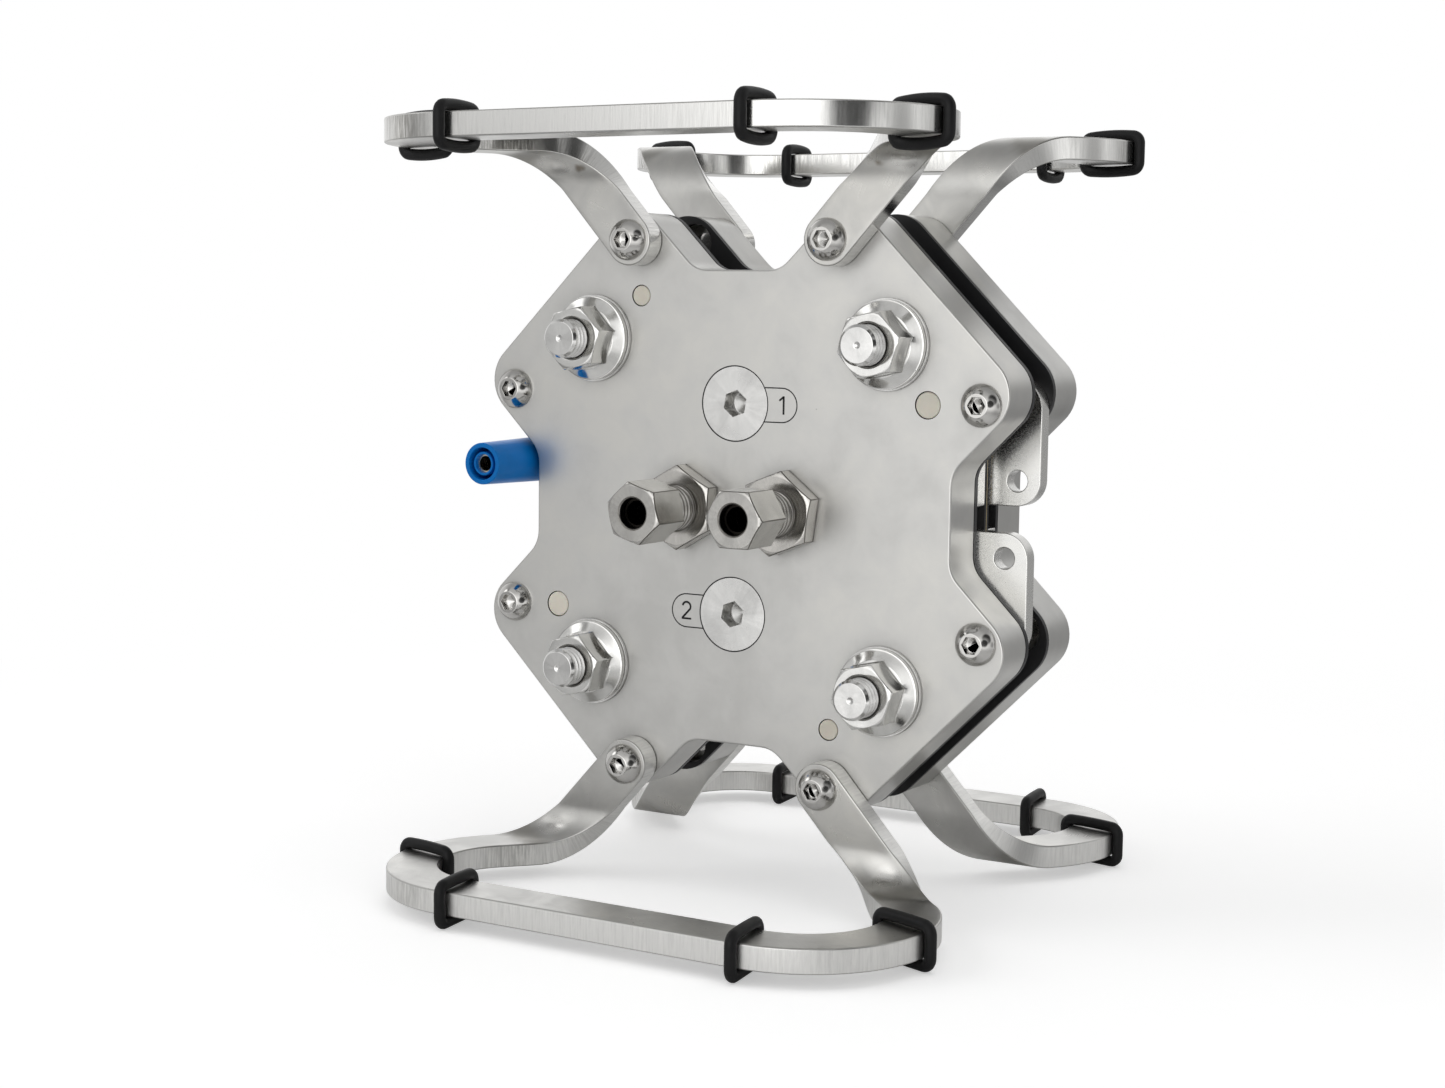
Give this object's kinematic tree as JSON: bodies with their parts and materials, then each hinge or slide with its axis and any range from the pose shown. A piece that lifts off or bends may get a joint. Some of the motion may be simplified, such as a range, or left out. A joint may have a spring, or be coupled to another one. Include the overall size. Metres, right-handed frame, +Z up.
{
  "type": "electrolysis test cell",
  "caption": "Laboratory electrolysis cell: a clamped stack between cross-lobed steel end plates, on bent strip brackets with rubber rings, with tube fittings and insulated sockets.",
  "frame": {"origin": "on the floor, under the centre of the part's bounding box", "axes": "+Z up, +X to the right when one faces the front plate, the front plate faces -Y"},
  "size_m": [0.155, 0.1868, 0.1992],
  "materials": {
    "plate_steel": "satin stainless steel, finely blasted, with faint smudges",
    "bracket_steel": "satin stainless steel strip with laser-cut edges",
    "bright_steel": "polished stainless steel",
    "fitting_steel": "turned stainless steel",
    "electrode_steel": "satin metal",
    "black_sheet": "matt black",
    "sleeve_black": "matt black",
    "gasket": "matt black",
    "front_felt": "grey metal felt",
    "rear_felt": "black carbon felt",
    "membrane_film": "thin amber film",
    "cream_pin": "natural cream plastic",
    "ring_rubber": "matt black rubber",
    "blue_plastic": "glossy blue",
    "red_plastic": "glossy red",
    "contact_metal": "nickel-plated brass"
  },
  "bodies": {
    "root": {"front_end_plate": "plate_steel", "rear_end_plate": "plate_steel", "front_insulating_sheet": "black_sheet", "rear_insulating_sheet": "black_sheet", "front_electrode_plate": "electrode_steel", "rear_electrode_plate": "electrode_steel", "front_gasket_frame": "gasket", "rear_gasket_frame": "gasket", "front_transport_layer": "front_felt", "rear_transport_layer": "rear_felt", "membrane": "membrane_film", "tie_bolts": "bright_steel", "flange_nuts": "bright_steel", "tie_washers": "bright_steel", "bolt_sleeves": "sleeve_black", "front_top_bracket": "bracket_steel", "front_bottom_bracket": "bracket_steel", "rear_top_bracket": "bracket_steel", "rear_bottom_bracket": "bracket_steel", "bracket_screws": "bright_steel", "side_screws": "bright_steel", "small_pins": "cream_pin", "large_pins": "cream_pin", "port_plugs": "bright_steel", "fitting_bodies": "fitting_steel", "fitting_nuts": "fitting_steel", "fitting_ferrules": "fitting_steel", "front_top_o_rings": "ring_rubber", "front_bottom_o_rings": "ring_rubber", "rear_top_o_rings": "ring_rubber", "rear_bottom_o_rings": "ring_rubber", "blue_socket_shroud": "blue_plastic", "blue_socket_contact": "contact_metal", "red_socket_shroud": "red_plastic", "red_socket_contact": "contact_metal", "socket_nuts": "bright_steel"}
  },
  "joints": []
}
